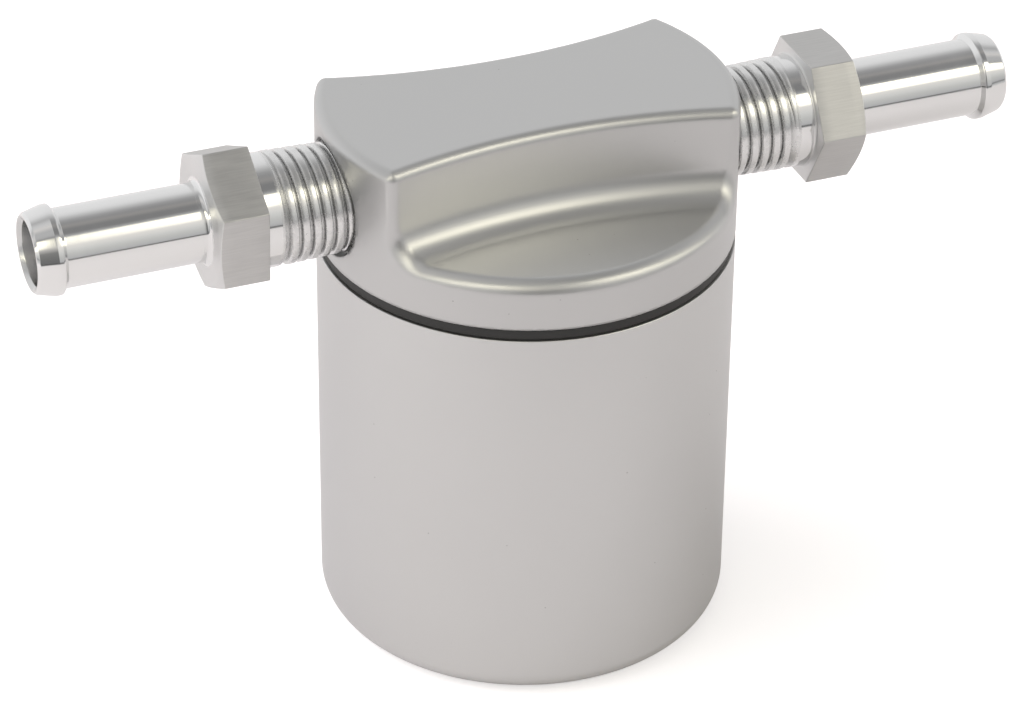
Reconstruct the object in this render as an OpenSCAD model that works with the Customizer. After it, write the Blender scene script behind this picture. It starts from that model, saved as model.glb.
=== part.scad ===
// Baffled oil catch can: a turned cup with a screwed twist-off lid, two hose fittings in the
// lid and a baffle stack hung below it on a stud.
// Origin: middle of the can's base. +Z is up, +X runs through the outlet fitting.

/* [Can] */
// Outside diameter of the can and of the lid
can_d = 50.8; // [50:0.1:58]
// Height of the can up to its rim
can_h = 51.7; // [51:0.1:70]
// Wall of the can below the thread
can_wall = 3.2; // [3:0.1:4.5]
// Thickness of the can's floor
can_floor = 4; // [3:0.1:5]
// Rounding of the can's bottom edge
foot_r = 3.2; // [1:0.1:4]
// Rounding between the floor and the wall, inside
sump_r = 2; // [1:0.1:4]
// Bevel that breaks the can's rim and the lid's lower edge
edge_bevel = 0.3; // [0.1:0.05:0.5]

/* [Lid] */
// Height of the lid above the seal
lid_h = 17.4; // [17:0.1:24]
// Height of the round band below the two scallops
band_h = 6.3; // [5:0.1:7.5]
// Width of the grip at its waist
grip_waist = 19.4; // [18.5:0.1:24]
// Radius of the scallops that shape the grip
grip_arc_r = 76.2; // [60:0.1:100]
// Radius of the cove between a scallop's wall and its floor
cove_r = 3.6; // [2:0.1:4]
// Rounding of the edges round the lid's top
top_edge_r = 0.75; // [0.4:0.05:0.95]
// Rounding of the grip's four upright corners
corner_r = 1; // [1:0.05:1.4]
// Rounding of the band's upper edge
band_edge_r = 0.9; // [0.4:0.05:1.2]

/* [Screwed joint of lid and can] */
// Wall that the thread leaves in the can
neck_wall = 2.4; // [2.2:0.05:3]
// Pitch of the thread
neck_pitch = 1.5; // [1:0.25:2]
// Turns of thread that engage
neck_turns = 4; // [3:1:5]
// Depth of the thread
neck_depth = 0.9; // [0.6:0.05:1.2]
// Height of the plain land above the thread that centres the lid
pilot_h = 1.5; // [1:0.1:3]
// Radial clearance of that land, and of the thread
pilot_gap = 0.1; // [0.05:0.01:0.15]

/* [Seal] */
// Height of the squeezed seal ring between the can and the lid
seal_h = 1.3; // [0.9:0.05:1.8]
// How far the ring stays back from the can's outside
seal_inset = 0.35; // [0.2:0.05:0.5]
// Clearance of the ring round the lid's land
seal_gap = 0.2; // [0.1:0.05:0.3]

/* [Ports] */
// Height of the ports' axis above the lid's underside
port_h = 8.2; // [7.9:0.05:8.8]
// Diameter of the drilled hole behind each port's thread
port_drill_d = 11.1; // [9:0.1:11.5]
// Diameter of the recess at each port's mouth
port_mouth_d = 14.4; // [14:0.1:15]
// Depth of that recess below the lid's side
port_mouth_depth = 1.5; // [1.2:0.1:2.5]
// Distance of the two upright passages from the middle
passage_x = 13.5; // [12:0.1:14.5]
// Play drawn between two engaged threads, and round a pressed-in piece
thread_gap = 0.05; // [0.02:0.01:0.08]

/* [Fittings] */
// Diameter of the pipe thread where it enters the lid
pipe_d = 13.4; // [13:0.05:13.8]
// Pitch of the pipe thread
pipe_pitch = 1.411; // [1.2:0.001:1.6]
// Depth of the pipe thread
pipe_depth = 0.8; // [0.5:0.05:1]
// Width of the pipe thread's crests
pipe_crest = 0.22; // [0.1:0.02:0.3]
// Length of pipe thread inside the lid
pipe_in = 7.6; // [6:0.1:8]
// Length of pipe thread outside the lid
pipe_out = 7.4; // [6:0.1:10]
// Length of the plain neck between the thread and the hexagon
pipe_neck = 2.3; // [1:0.1:4]
// Width of the hexagon across its flats
hex_af = 15.875; // [15:0.025:18]
// Length of the hexagon
hex_len = 6; // [4:0.1:8]
// Slope of the bevel turned on the hexagon's corners
hex_bevel = 18; // [10:1:30]
// Clocking of the inlet fitting's hexagon
hex_turn_inlet = 57.4; // [0:0.1:60]
// Clocking of the outlet fitting's hexagon
hex_turn_outlet = 29.3; // [0:0.1:60]
// Diameter of the hose tail
tail_d = 9.525; // [9:0.025:10.5]
// Length of the hose tail from the hexagon to its end
tail_len = 20.9; // [18:0.1:30]
// Diameter of the barb
barb_d = 10.8; // [10.6:0.1:11.6]
// Length of the barb
barb_len = 3.6; // [3:0.1:5]
// Length of the step behind the barb
barb_step = 0.5; // [0.3:0.05:1]
// Rounding of the barb's widest part and of its end
barb_edge_r = 0.3; // [0.1:0.05:0.4]
// Bore through a fitting
bore_d = 7.2; // [6:0.1:7.6]
// Width of the flare at the bore's outer mouth
bore_flare = 0.4; // [0.1:0.05:0.5]

/* [Inlet tube] */
// Outside diameter of the tube that carries the gas down
tube_d = 8; // [7:0.1:8.4]
// Wall of that tube
tube_wall = 0.8; // [0.6:0.05:1.2]
// Height of the tube's lowest point above the can's floor
tube_clear = 6; // [4:0.1:8]
// Section of the ring that seals the tube in the lid
tube_ring_t = 1.6; // [1.2:0.1:1.8]
// Height of that ring above the lid's lower end
tube_ring_up = 3.2; // [2.5:0.1:4.5]
// Height of the tube's shoulder above the lid's underside
tube_seat_up = 1.7; // [1:0.1:2]

/* [Baffle stack] */
// Diameter of the stud that carries the stack
stud_d = 5; // [4:0.1:6]
// Length of the stud inside the lid
stud_in = 8; // [6:0.1:9]
// Outside diameter of the two spacers
spacer_d = 8.5; // [8:0.1:10]
// Length of the spacer below the lid
upper_spacer_len = 4; // [2:0.1:5]
// Length of the spacer above the splash plate
lower_spacer_len = 5; // [3:0.1:6]
// Thickness of the two perforated screens
screen_t = 1; // [0.8:0.1:1.5]
// Clearance of the stack inside the can
stack_gap = 0.6; // [0.4:0.05:1]
// Diameter of the screens' holes
screen_hole_d = 2.6; // [2:0.1:3]
// Distance between neighbouring holes of a screen
screen_pitch = 4.6; // [4:0.1:6]
// Thickness of the fine mesh pad
fine_mesh_t = 4; // [2:0.1:5]
// Thickness of the coarse mesh pad
coarse_mesh_t = 8; // [5:0.1:9]
// Thickness of the splash plate
splash_t = 1.2; // [1:0.1:1.6]
// Number of drain notches round the splash plate
splash_notches = 8; // [6:1:12]
// Diameter of the washer
washer_d = 10; // [9:0.1:12]
// Thickness of the washer
washer_t = 1; // [0.8:0.1:1.2]
// Width of the lock nut across its flats
nut_af = 8; // [8:0.1:10]
// Height of the lock nut
nut_h = 5; // [4:0.1:5.2]

/* [Hidden] */
$fn = 96;

can_r = can_d / 2;
bore_r = can_r - can_wall;
thread_r = can_r - neck_wall;
pilot_r = thread_r + pilot_gap;
neck_len = neck_pitch * (neck_turns + 0.33);
seal_z = can_h;
lid_z = can_h + seal_h;
top_z = lid_z + lid_h;
shelf_z = lid_z + band_h;
spigot_z = can_h - pilot_h - neck_len;
run_out = 0.7;
bevel_cut = 8 * edge_bevel;
port_z = lid_z + port_h;

// Distance of a scallop's upright axis from the middle
scallop_y = grip_waist / 2 + grip_arc_r;
// Axis of a rounded corner, which stands a hair proud of both surfaces so that they cross it
corner_in = corner_r - 0.02;
corner_y = (pow(grip_arc_r + corner_in, 2) - pow(can_r - corner_in, 2) - pow(scallop_y, 2)) / (2 * scallop_y);
corner_x = sqrt(pow(can_r - corner_in, 2) - pow(corner_y, 2));

tube_r = tube_d / 2;
tube_top_z = lid_z + tube_seat_up;
tube_ring_z = spigot_z + tube_ring_up;
ring_squeeze = 0.1;

upper_screen_z = spigot_z - upper_spacer_len - screen_t;
fine_mesh_z = upper_screen_z - fine_mesh_t;
coarse_mesh_z = fine_mesh_z - coarse_mesh_t;
lower_screen_z = coarse_mesh_z - screen_t;
splash_z = lower_screen_z - lower_spacer_len - splash_t;
washer_z = splash_z - washer_t;
nut_z = washer_z - nut_h;
stud_tail = 1.2;
stack_r = bore_r - stack_gap;
stud_hole_r = stud_d / 2 + 0.2;
tube_hole_r = tube_r + 0.3;

// Cuts a convex corner at the origin down to a rounding; the material lies towards -X and -Y.
module corner_cut(r) {
    difference() {
        translate([-r, -r]) square(r + 1);
        translate([-r, -r]) circle(r);
    }
}

// A plain ring or sleeve standing at the origin
module ring(r_in, r_out, h) {
    difference() {
        cylinder(h = h, r = r_out);
        translate([0, 0, -1]) cylinder(h = h + 2, r = r_in);
    }
}

// The can: one turned cup, with a plain mouth for the lid's land and the thread's run below it
module can() {
    color([0.78, 0.77, 0.77]) rotate_extrude() difference() {
        square([can_r, can_h]);
        translate([can_r, 0]) mirror([0, 1]) corner_cut(foot_r);
        translate([can_r, can_h]) rotate(45) square([bevel_cut, 2 * edge_bevel * sqrt(0.5)], center = true);
        difference() {
            translate([0, can_floor]) square([bore_r, can_h]);
            translate([bore_r, can_floor]) mirror([0, 1]) corner_cut(sump_r);
        }
        translate([0, spigot_z - run_out]) square([thread_r + pilot_gap, can_h]);
        translate([0, can_h - pilot_h]) square([pilot_r + pilot_gap, can_h]);
    }
}

// The seal ring, squeezed to a flat-sided oval
module lid_seal() {
    r_in = pilot_r + seal_gap;
    r_out = can_r - seal_inset;
    round_r = seal_h / 2;
    color([0.06, 0.06, 0.06]) translate([0, 0, seal_z]) rotate_extrude() {
        translate([r_in + round_r, 0]) square([r_out - r_in - seal_h, seal_h]);
        translate([r_in + round_r, round_r]) circle(round_r);
        translate([r_out - round_r, round_r]) circle(round_r);
    }
}

// Outside of the lid before its scallops: the drum, the land that centres it and the thread's core
module lid_blank() {
    rotate_extrude() {
        difference() {
            translate([0, lid_z]) square([can_r, lid_h]);
            translate([can_r, top_z]) corner_cut(top_edge_r);
            translate([can_r, lid_z]) rotate(45) square([2 * edge_bevel * sqrt(0.5), bevel_cut], center = true);
        }
        translate([0, can_h - pilot_h]) square([pilot_r, pilot_h + seal_h + 1]);
        difference() {
            translate([0, spigot_z]) square([thread_r - neck_depth, neck_len + 1]);
            translate([thread_r - neck_depth, spigot_z]) rotate(45) square([1, 4], center = true);
        }
    }
}

// What the milling cutter takes out of one side: an upright arc, a cove and a level floor
module scallop() {
    translate([0, -scallop_y, 0]) rotate_extrude() {
        difference() {
            translate([0, shelf_z]) square([grip_arc_r, lid_h]);
            translate([grip_arc_r, shelf_z]) mirror([0, 1]) corner_cut(cove_r);
        }
        difference() {
            translate([grip_arc_r, top_z - top_edge_r]) square([top_edge_r, top_edge_r + 1]);
            translate([grip_arc_r + top_edge_r, top_z - top_edge_r]) circle(top_edge_r);
        }
    }
}

// Rounds the band's upper edge along the scallop's level floor
module band_edge() {
    intersection() {
        rotate_extrude() translate([can_r, shelf_z]) corner_cut(band_edge_r);
        translate([0, -scallop_y, shelf_z - lid_h / 2]) cylinder(h = lid_h, r = grip_arc_r - cove_r);
    }
}

// Takes one upright corner of the grip down to a rounding
module corner_cutter() {
    middle = [corner_x, corner_y];
    out = middle * (can_r / norm(middle));
    to_axis = [0, -scallop_y] - middle;
    back = middle + to_axis * (corner_r / norm(to_axis));
    tip = middle + 3 * (out + back - 2 * middle);
    translate([0, 0, shelf_z + cove_r]) linear_extrude(lid_h) difference() {
        polygon([middle, out, tip, back]);
        translate(middle) circle(corner_r);
    }
}

module in_four_corners() {
    for (x = [0, 1], y = [0, 1]) mirror([x, 0, 0]) mirror([0, y, 0]) children();
}

// One port: a recessed mouth, the thread's taper and the drilled hole that meets the passage
module port() {
    face_r = pipe_d / 2 + thread_gap;
    deep = pipe_in + 0.8;
    drill_end = passage_x - tube_r;
    translate([0, 0, port_z]) rotate([0, 90, 0]) {
        translate([0, 0, can_r - port_mouth_depth]) cylinder(h = can_r, d = port_mouth_d);
        rotate_extrude() polygon([
            [0, can_r - deep], [face_r - deep / 32, can_r - deep], [face_r + 1 / 32, can_r + 1], [0, can_r + 1]
        ]);
        translate([0, 0, drill_end]) cylinder(h = can_r - drill_end - 1, d = port_drill_d);
    }
}

// The lid: turned and milled from one bar, with two ports, two passages and a hole for the stud
module lid() {
    color([0.74, 0.73, 0.72]) difference() {
        lid_blank();
        scallop();
        mirror([0, 1, 0]) scallop();
        band_edge();
        mirror([0, 1, 0]) band_edge();
        in_four_corners() corner_cutter();
        for (side = [0, 180]) rotate([0, 0, side]) port();
        translate([-passage_x, 0, spigot_z - 1]) cylinder(h = tube_top_z - spigot_z + 1, r = tube_r + thread_gap);
        translate([-passage_x, 0, spigot_z]) cylinder(h = port_z - spigot_z, r = tube_r - tube_wall);
        translate([-passage_x, 0, tube_ring_z]) cylinder(h = tube_ring_t, r = tube_r + tube_ring_t - ring_squeeze);
        translate([passage_x, 0, spigot_z - 1]) cylinder(h = port_z - spigot_z + 1, r = tube_r);
        translate([0, 0, spigot_z - 1]) cylinder(h = stud_in + 1.5, r = stud_d / 2 + thread_gap);
    }
}

// Outline of the tapered pipe thread, from the end inside the lid out to the plain neck
function pipe_r(z) = pipe_d / 2 + (z - pipe_in) / 32;
function pipe_flank() = pipe_depth * tan(30);
function pipe_tooth(z) = [
    [pipe_r(z) - pipe_depth, z - pipe_crest / 2 - pipe_flank()],
    [pipe_r(z), z - pipe_crest / 2],
    [pipe_r(z), z + pipe_crest / 2],
    [pipe_r(z) - pipe_depth, z + pipe_crest / 2 + pipe_flank()]
];

// A hose fitting standing on its inner end: taper thread, neck, hexagon and barbed tail
module fitting(hex_turn) {
    thread_len = pipe_in + pipe_out;
    hex_z = thread_len + pipe_neck;
    tail_z = hex_z + hex_len;
    end_z = tail_z + tail_len;
    barb_z = end_z - barb_len;
    teeth = floor((thread_len - 1.2) / pipe_pitch);
    neck_r = pipe_r(thread_len) - 0.05;
    tail_r = tail_d / 2;
    color([0.85, 0.85, 0.85]) difference() {
        union() {
            rotate_extrude() polygon(concat(
                [[0, 0], [pipe_r(0) - pipe_depth, 0]],
                [for (k = [1 : teeth]) each pipe_tooth(thread_len - 0.35 - k * pipe_pitch)],
                [[neck_r - pipe_depth, thread_len - 0.75], [neck_r, thread_len], [neck_r, hex_z + 1], [0, hex_z + 1]]
            ));
            intersection() {
                translate([0, 0, hex_z]) rotate(hex_turn) cylinder(h = hex_len, r = hex_af / 2 / cos(30), $fn = 6);
                rotate_extrude() polygon([
                    [0, hex_z], [hex_af, hex_z], [hex_af, tail_z - (hex_af / 2) * tan(hex_bevel)],
                    [hex_af / 2, tail_z], [0, tail_z]
                ]);
            }
            rotate_extrude() {
                translate([0, tail_z - 1]) square([tail_r, tail_len + 1 - barb_len + barb_step]);
                difference() {
                    translate([0, tail_z - 0.1]) square([tail_r + barb_edge_r, barb_edge_r + 0.1]);
                    translate([tail_r + barb_edge_r, tail_z + barb_edge_r]) circle(barb_edge_r);
                }
                difference() {
                    polygon([
                        [0, barb_z], [tail_r, barb_z], [barb_d / 2, barb_z + barb_step],
                        [barb_d / 2, barb_z + 2 * barb_step], [tail_r, end_z], [0, end_z]
                    ]);
                    translate([tail_r, end_z]) corner_cut(barb_edge_r);
                }
            }
        }
        rotate_extrude() polygon([
            [0, -1], [bore_d / 2, -1], [bore_d / 2, end_z - bore_flare], [bore_d / 2 + bore_flare + 1, end_z + 1],
            [0, end_z + 1]
        ]);
    }
}

module inlet_fitting() {
    translate([-can_r + pipe_in, 0, port_z]) rotate([0, -90, 0]) fitting(hex_turn_inlet);
}

module outlet_fitting() {
    translate([can_r - pipe_in, 0, port_z]) rotate([0, 90, 0]) fitting(hex_turn_outlet);
}

// The inlet tube: seated on a shoulder in the lid, its lower end cut on a slant
module inlet_tube() {
    low_z = can_floor + tube_clear;
    color([0.8, 0.8, 0.82]) difference() {
        translate([-passage_x, 0, low_z]) ring(tube_r - tube_wall, tube_r, tube_top_z - low_z);
        translate([-passage_x + tube_r, 0, low_z]) rotate([0, -45, 0])
            translate([-4 * tube_d, -tube_d, -4 * tube_d]) cube([4 * tube_d, 2 * tube_d, 4 * tube_d]);
    }
}

module tube_seal() {
    color([0.08, 0.08, 0.08]) translate([-passage_x, 0, tube_ring_z])
        ring(tube_r + thread_gap, tube_r + tube_ring_t - ring_squeeze - thread_gap, tube_ring_t);
}

module stack_stud() {
    color([0.7, 0.7, 0.72]) translate([0, 0, nut_z - stud_tail])
        cylinder(h = spigot_z + stud_in - nut_z + stud_tail, d = stud_d);
}

module spacer(z, h) {
    color([0.75, 0.75, 0.75]) translate([0, 0, z]) ring(stud_hole_r, spacer_d / 2, h);
}

// A disc of the stack, with its holes for the stud and for the inlet tube
module stack_disc(z, h) {
    translate([0, 0, z]) difference() {
        cylinder(h = h, r = stack_r);
        translate([0, 0, -1]) cylinder(h = h + 2, r = stud_hole_r);
        translate([-passage_x, 0, -1]) cylinder(h = h + 2, r = tube_hole_r);
    }
}

// Places of a screen's holes: rows in a triangle pattern, clear of the rim, the stud and the tube
function screen_spots() = [
    for (row = [-6 : 6], col = [-6 : 6])
        let (x = (col + (row % 2 == 0 ? 0 : 0.5)) * screen_pitch, y = row * screen_pitch * sqrt(0.75))
        if (norm([x, y]) < stack_r - screen_hole_d / 2 - 0.8
            && norm([x, y]) > washer_d / 2 + screen_hole_d / 2 + 0.2
            && norm([x + passage_x, y]) > tube_hole_r + screen_hole_d / 2 + 0.5) [x, y]
];

module screen(z) {
    color([0.72, 0.73, 0.74]) difference() {
        stack_disc(z, screen_t);
        for (spot = screen_spots())
            translate([spot[0], spot[1], z - 1]) cylinder(h = screen_t + 2, d = screen_hole_d, $fn = 24);
    }
}

module mesh_pad(z, h, shade) {
    color([shade, shade, shade]) stack_disc(z, h);
}

// The splash plate: closed in the middle, with round drain notches in its edge
module splash_plate() {
    notch_r = 2.2;
    color([0.7, 0.71, 0.73]) difference() {
        stack_disc(splash_z, splash_t);
        for (k = [0 : splash_notches - 1]) rotate(k * 360 / splash_notches + 180 / splash_notches)
            translate([stack_r, 0, splash_z - 1]) cylinder(h = splash_t + 2, r = notch_r);
    }
}

module stud_washer() {
    color([0.7, 0.7, 0.72]) translate([0, 0, washer_z]) ring(stud_hole_r, washer_d / 2, washer_t);
}

module lock_nut() {
    color([0.68, 0.68, 0.7]) translate([0, 0, nut_z]) difference() {
        cylinder(h = nut_h, r = nut_af / 2 / cos(30), $fn = 6);
        translate([0, 0, -1]) cylinder(h = nut_h + 2, r = stud_d / 2 + thread_gap);
    }
}

can();
lid_seal();
lid();
inlet_fitting();
outlet_fitting();
inlet_tube();
tube_seal();
stack_stud();
spacer(upper_screen_z + screen_t, upper_spacer_len);  // upper_spacer
screen(upper_screen_z);  // upper_screen
mesh_pad(fine_mesh_z, fine_mesh_t, 0.62);  // fine_mesh
mesh_pad(coarse_mesh_z, coarse_mesh_t, 0.55);  // coarse_mesh
screen(lower_screen_z);  // lower_screen
spacer(splash_z + splash_t, lower_spacer_len);  // lower_spacer
splash_plate();
stud_washer();
lock_nut();
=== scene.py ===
import math
import bpy
import numpy as np
from mathutils import Matrix, Vector


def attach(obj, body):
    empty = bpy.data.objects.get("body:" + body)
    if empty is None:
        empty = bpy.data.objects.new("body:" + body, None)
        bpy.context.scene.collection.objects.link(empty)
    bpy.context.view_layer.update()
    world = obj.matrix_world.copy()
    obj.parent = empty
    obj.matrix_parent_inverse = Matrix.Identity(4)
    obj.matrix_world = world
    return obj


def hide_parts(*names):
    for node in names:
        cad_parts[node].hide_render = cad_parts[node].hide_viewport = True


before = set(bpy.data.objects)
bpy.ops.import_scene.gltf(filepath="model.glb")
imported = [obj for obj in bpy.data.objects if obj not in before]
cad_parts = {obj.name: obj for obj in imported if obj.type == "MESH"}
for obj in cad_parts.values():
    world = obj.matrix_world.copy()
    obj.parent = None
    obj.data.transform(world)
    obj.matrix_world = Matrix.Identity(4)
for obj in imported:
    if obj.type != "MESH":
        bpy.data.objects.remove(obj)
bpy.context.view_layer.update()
mm = 0.001

# Camera
cameraSet = {
    "place": (-0.16487, -0.40814, 0.31632),   # metres
    "target": (-0.001386, 0.000554, 0.033829),
    "roll": 0.647,                            # degrees
    "lens": 148.97,                           # on a sensor 36 mm wide
}


def makeCamera():
    data = bpy.data.cameras.new("camera")
    data.lens = cameraSet["lens"]
    data.sensor_width = 36
    data.clip_start, data.clip_end = 0.01, 20
    camera = bpy.data.objects.new("camera", data)
    bpy.context.scene.collection.objects.link(camera)
    place, target = Vector(cameraSet["place"]), Vector(cameraSet["target"])
    back = (place - target).normalized()
    right = Vector((0, 0, 1)).cross(back).normalized()
    up = back.cross(right)
    turn = math.radians(cameraSet["roll"])
    side = right * math.cos(turn) + up * math.sin(turn)
    top = up * math.cos(turn) - right * math.sin(turn)
    camera.matrix_world = Matrix.Translation(place) @ Matrix((side, top, back)).transposed().to_4x4()
    bpy.context.scene.camera = camera


makeCamera()
print("camera done")


# Materials
def newMaterial(name):
    material = bpy.data.materials.new(name)
    material.use_nodes = True
    tree = material.node_tree
    tree.nodes.clear()
    output = tree.nodes.new("ShaderNodeOutputMaterial")
    shader = tree.nodes.new("ShaderNodeBsdfPrincipled")
    tree.links.new(shader.outputs[0], output.inputs["Surface"])
    return material, tree, shader


def objectPlace(tree, stretch=(1, 1, 1)):
    coordinates = tree.nodes.new("ShaderNodeTexCoord")
    mapping = tree.nodes.new("ShaderNodeMapping")
    mapping.inputs["Scale"].default_value = stretch
    tree.links.new(coordinates.outputs["Object"], mapping.inputs["Vector"])
    return mapping.outputs["Vector"]


def noise(tree, place, scale, detail=3.0, roughness=0.5):
    node = tree.nodes.new("ShaderNodeTexNoise")
    node.inputs["Scale"].default_value = scale
    node.inputs["Detail"].default_value = detail
    node.inputs["Roughness"].default_value = roughness
    tree.links.new(place, node.inputs["Vector"])
    return node.outputs["Fac"]


def mapped(tree, value, low, high, fromLow=0.0, fromHigh=1.0):
    node = tree.nodes.new("ShaderNodeMapRange")
    for socket, number in (("From Min", fromLow), ("From Max", fromHigh), ("To Min", low), ("To Max", high)):
        node.inputs[socket].default_value = number
    tree.links.new(value, node.inputs["Value"])
    return node.outputs["Result"]


def combine(tree, operation, first, second):
    node = tree.nodes.new("ShaderNodeMath")
    node.operation = operation
    for socket, value in zip(node.inputs, (first, second)):
        if isinstance(value, (int, float)):
            socket.default_value = value
        else:
            tree.links.new(value, socket)
    return node.outputs[0]


def mixColour(tree, factor, first, second):
    node = tree.nodes.new("ShaderNodeMix")
    node.data_type = "RGBA"
    for name, value in (("Factor_Float", factor), ("A_Color", first), ("B_Color", second)):
        socket = next(s for s in node.inputs if s.identifier == name)
        if isinstance(value, (tuple, float)):
            socket.default_value = value
        else:
            tree.links.new(value, socket)
    return next(s for s in node.outputs if s.identifier == "Result_Color")


def bump(tree, height, depth, strength=1.0, normal=None):
    node = tree.nodes.new("ShaderNodeBump")
    node.inputs["Strength"].default_value = strength
    node.inputs["Distance"].default_value = depth
    tree.links.new(height, node.inputs["Height"])
    if normal is not None:
        tree.links.new(normal, node.inputs["Normal"])
    return node.outputs["Normal"]


def attribute(tree, name):
    node = tree.nodes.new("ShaderNodeAttribute")
    node.attribute_type = "GEOMETRY"
    node.attribute_name = name
    return node.outputs["Fac"]


def grey(value, warmth=0.0):
    return (value * (1 + warmth), value, value * (1 - warmth), 1)


satinSet = {
    "canTone": 0.67, "lidTone": 0.60,   # clear anodised aluminium
    "toneSpread": 0.02,
    "speckTone": 0.2,
    "roughness": (0.35, 0.385),
    "grainRoughness": 0.03,             # more and less of it from pit to pit
    "wornRoughness": 0.05,              # added along the edges, which the blasting leaves rougher
    "grainScale": 5200,                 # bead-blasted pits per metre
    "grainDepth": 0.000003,
    "patchScale": 55,
    "speckScale": 900,                  # cells per metre, of which a few hold a speck
    "speckShare": 0.04,
    "speckRadius": 0.09,                # of a cell
}


def satinAluminium(name, tone):
    s = satinSet
    material, tree, shader = newMaterial(name)
    place = objectPlace(tree)
    patch = noise(tree, place, s["patchScale"], 2)
    grain = noise(tree, place, s["grainScale"], 2, 0.6)
    body = mixColour(tree, patch, grey(tone * (1 - s["toneSpread"])), grey(tone * (1 + s["toneSpread"])))
    body = mixColour(tree, specks(tree, place, s), body, grey(s["speckTone"]))
    tree.links.new(body, shader.inputs["Base Color"])
    shader.inputs["Metallic"].default_value = 1.0
    pitted = mapped(tree, grain, -s["grainRoughness"], s["grainRoughness"])
    rough = combine(tree, "ADD", mapped(tree, patch, *s["roughness"]), pitted)
    rough = combine(tree, "ADD", rough, mapped(tree, attribute(tree, "wear"), 0, s["wornRoughness"]))
    tree.links.new(rough, shader.inputs["Roughness"])
    tree.links.new(bump(tree, grain, s["grainDepth"]), shader.inputs["Normal"])
    return material


def specks(tree, place, s):
    cells = tree.nodes.new("ShaderNodeTexVoronoi")
    cells.inputs["Scale"].default_value = s["speckScale"]
    tree.links.new(place, cells.inputs["Vector"])
    split = tree.nodes.new("ShaderNodeSeparateColor")
    tree.links.new(cells.outputs["Color"], split.inputs[0])
    chosen = combine(tree, "GREATER_THAN", split.outputs[0], 1 - s["speckShare"])
    dot = mapped(tree, cells.outputs["Distance"], 0.7, 0, s["speckRadius"] * 0.5, s["speckRadius"])
    return combine(tree, "MULTIPLY", chosen, dot)


turnedSet = {
    "groovesPerMetre": 6200, "bandsPerMetre": 700, "patchScale": 120,
    "stretch": 0.012,                   # of the noise across the axis, so that it draws rings
    "drawnOut": 0.5,
    "finishes": {                       # tone, roughness, depth of the grooves
        "turnedBright": (0.84, (0.08, 0.13), 0.000001),
        "roughTurned": (0.74, (0.38, 0.48), 0.000008),
        "boreWall": (0.66, (0.2, 0.3), 0.000004),
    },
}


def turnedMetal(name):
    # turned about X: fine rings across the axis, which draw a reflection out along it
    s = turnedSet
    tone, roughness, grooveDepth = s["finishes"][name]
    material, tree, shader = newMaterial(name)
    place = objectPlace(tree, (1, s["stretch"], s["stretch"]))
    groove = noise(tree, place, s["groovesPerMetre"], 3, 0.7)
    band = noise(tree, place, s["bandsPerMetre"], 2, 0.5)
    patch = noise(tree, objectPlace(tree), s["patchScale"], 2)
    tree.links.new(mixColour(tree, patch, grey(tone * 0.97), grey(tone * 1.02)), shader.inputs["Base Color"])
    shader.inputs["Metallic"].default_value = 1.0
    wide = mapped(tree, patch, *roughness, 0.3, 0.7)
    rough = combine(tree, "ADD", wide, mapped(tree, band, -0.02, 0.03, 0.3, 0.7))
    tree.links.new(rough, shader.inputs["Roughness"])
    shader.inputs["Anisotropic"].default_value = s["drawnOut"]
    shader.inputs["Anisotropic Rotation"].default_value = 0.25
    tangent = tree.nodes.new("ShaderNodeTangent")
    tangent.direction_type = "RADIAL"
    tangent.axis = "X"
    tree.links.new(tangent.outputs[0], shader.inputs["Tangent"])
    tree.links.new(bump(tree, groove, grooveDepth), shader.inputs["Normal"])
    return material


# the flank and root tones paint shade into the thread's grooves
threadSet = {
    "crestTone": 0.80, "flankTone": 0.78, "rootShadeAndStreakTone": 0.6,
    "roughness": (0.2, 0.32), "streaksPerMetre": 900, "streakDepth": 0.000006,
    "dirtShare": 0.35,
}


def cutThread(name):
    # lighter on the crests, darker down the flanks to the root: painted shade in the thread's grooves
    # attribute depth is 0 on a crest, 1 at the root
    s = threadSet
    material, tree, shader = newMaterial(name)
    depth = attribute(tree, "depth")
    streak = noise(tree, objectPlace(tree), s["streaksPerMetre"], 3, 0.6)
    # depth mixes towards the root tone: painted shade in the grooves; the streak mix below reuses that tone
    # for random darker streaks
    flank = mixColour(tree, mapped(tree, depth, 0, 1, 0.3, 1.0), grey(s["flankTone"]), grey(s["rootShadeAndStreakTone"]))
    body = mixColour(tree, mapped(tree, depth, 1, 0, 0.08, 0.3), flank, grey(s["crestTone"]))
    body = mixColour(tree, mapped(tree, streak, 0, s["dirtShare"], 0.45, 0.75), body, grey(s["rootShadeAndStreakTone"]))
    tree.links.new(body, shader.inputs["Base Color"])
    shader.inputs["Metallic"].default_value = 1.0
    tree.links.new(mapped(tree, streak, *s["roughness"], 0.3, 0.7), shader.inputs["Roughness"])
    tree.links.new(bump(tree, streak, s["streakDepth"]), shader.inputs["Normal"])
    return material


hexSet = {
    "tones": (0.48, 0.70), "warmth": 0.008, "roughness": (0.4, 0.5),
    "streaksPerMetre": 4800, "streakDepth": 0.000003, "stretch": 0.05, "patchScale": 260,
}


def hexFlatMetal(name):
    # drawn bar: streaks run along X
    s = hexSet
    material, tree, shader = newMaterial(name)
    streak = noise(tree, objectPlace(tree, (s["stretch"], 1, 1)), s["streaksPerMetre"], 4, 0.7)
    patch = noise(tree, objectPlace(tree), s["patchScale"], 2)
    low, high = (grey(tone, s["warmth"]) for tone in s["tones"])
    tree.links.new(mixColour(tree, streak, low, high), shader.inputs["Base Color"])
    shader.inputs["Metallic"].default_value = 1.0
    streaked = mapped(tree, streak, *s["roughness"], 0.3, 0.7)
    rough = combine(tree, "ADD", streaked, mapped(tree, patch, -0.04, 0.04))
    tree.links.new(rough, shader.inputs["Roughness"])
    tree.links.new(bump(tree, streak, s["streakDepth"]), shader.inputs["Normal"])
    return material


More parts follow.
